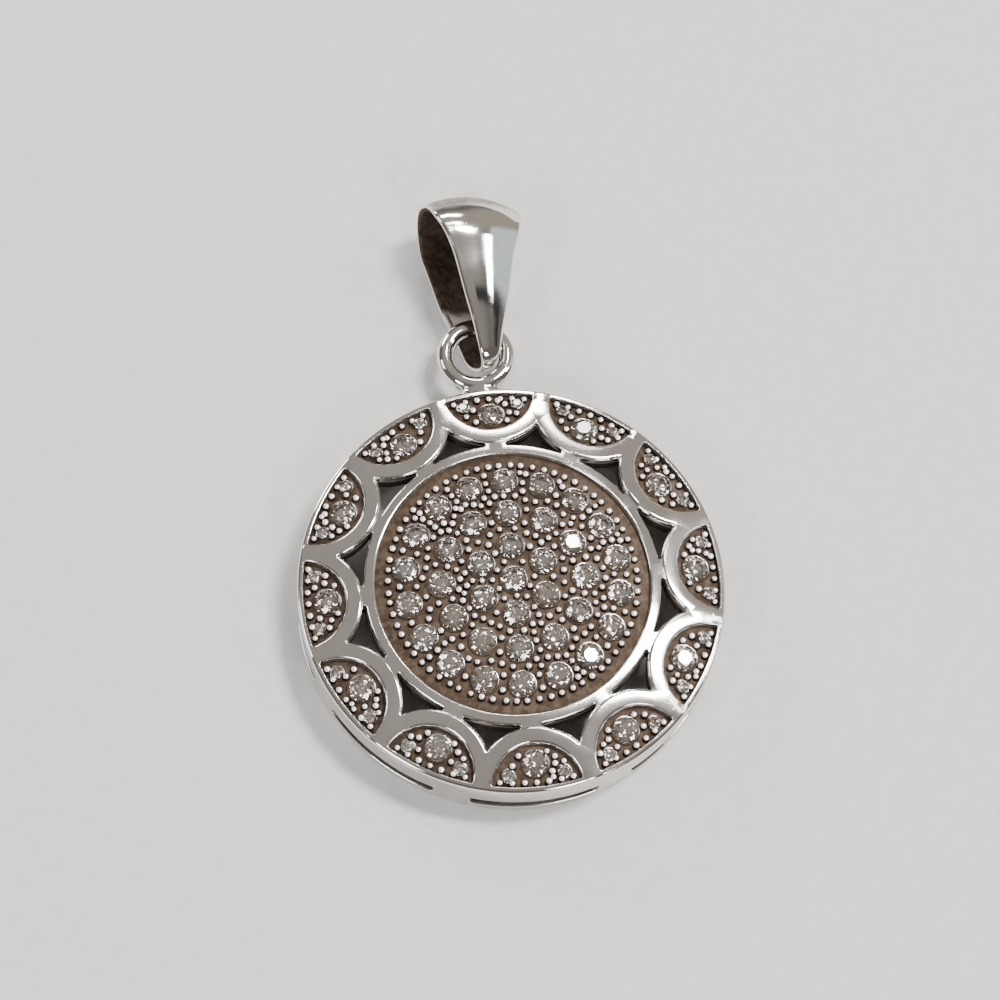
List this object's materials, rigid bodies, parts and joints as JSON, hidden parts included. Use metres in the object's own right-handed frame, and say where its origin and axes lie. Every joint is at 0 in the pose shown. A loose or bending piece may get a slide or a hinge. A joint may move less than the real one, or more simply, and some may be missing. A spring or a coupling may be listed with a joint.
{
  "type": "pendant",
  "caption": "Round silver pavé pendant: stone-set centre inside a polished ring, pierced scallops around it, windowed side wall, soldered loop and tapered folded bail.",
  "frame": {"origin": "on the disc's axis, in the plane of its flat back ring", "axes": "+Z out of the stone-set face, +Y from the disc's centre towards the loop and bail, +X along the chain's way through the bail"},
  "size_m": [0.02, 0.0302, 0.005],
  "materials": {
    "silver": "polished, lightly scratched, tarnished brown in the recesses",
    "bail_silver": "polished outside, dull and tarnished inside the fold",
    "clear_stone": "faceted, clear"
  },
  "bodies": {
    "root": {"setting": "silver", "bail": "bail_silver", "centre_stones": "clear_stone", "petal_side_stones": "clear_stone", "petal_stone_1": "clear_stone", "petal_stone_2": "clear_stone", "petal_stone_3": "clear_stone", "petal_stone_4": "clear_stone", "petal_stone_5": "clear_stone", "petal_stone_6": "clear_stone", "petal_stone_7": "clear_stone", "petal_stone_8": "clear_stone", "petal_stone_9": "clear_stone", "petal_stone_10": "clear_stone", "petal_stone_11": "clear_stone", "petal_stone_12": "clear_stone"}
  },
  "joints": []
}
